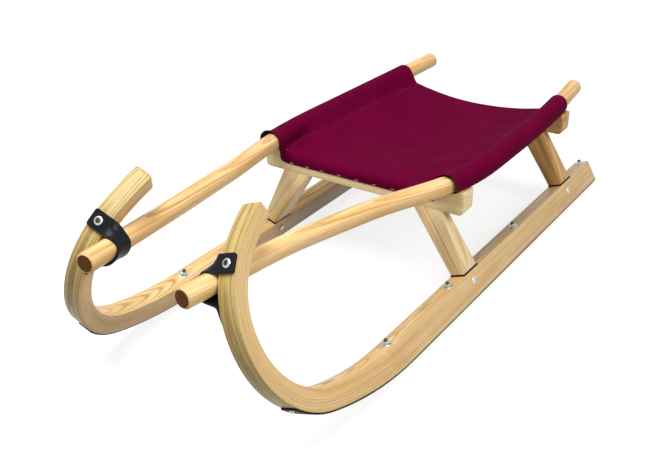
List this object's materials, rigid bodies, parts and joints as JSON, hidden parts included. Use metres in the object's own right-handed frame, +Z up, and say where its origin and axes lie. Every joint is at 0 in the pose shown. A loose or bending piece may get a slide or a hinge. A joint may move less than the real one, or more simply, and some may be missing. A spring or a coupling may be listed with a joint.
{
  "type": "touring luge",
  "caption": "Touring luge: bent, canted wooden runners with upturned horns, splayed legs and bridges, side rails strapped to the horns, and a fabric sling seat.",
  "frame": {"origin": "on the floor, under the middle of the overall length and width", "axes": "+Z up, the horns point to -Y, +X is the rider's left"},
  "size_m": [0.4698, 1.2114, 0.3539],
  "materials": {
    "ash": "satin clear varnish",
    "ash_rail": "satin clear varnish",
    "rail_steel": "ground",
    "zinc": "zinc plated",
    "rubber": "matte",
    "strap_leather": "smooth",
    "seat_cloth": "woven"
  },
  "bodies": {
    "root": {"runner_left": "ash", "runner_right": "ash", "steel_rail_left": "rail_steel", "steel_rail_right": "rail_steel", "rail_bolts_left": "zinc", "rail_bolts_right": "zinc", "side_rail_left": "ash_rail", "side_rail_right": "ash_rail", "leg_front_left": "ash", "leg_front_right": "ash", "leg_rear_left": "ash", "leg_rear_right": "ash", "leg_pad_front_left": "rubber", "leg_pad_front_right": "rubber", "leg_pad_rear_left": "rubber", "leg_pad_rear_right": "rubber", "bridge_front": "ash", "bridge_rear": "ash", "seat": "seat_cloth", "strap_left": "strap_leather", "strap_right": "strap_leather", "strap_screw_left": "zinc", "strap_screw_right": "zinc", "side_screws_left": "zinc", "side_screws_right": "zinc"}
  },
  "joints": []
}
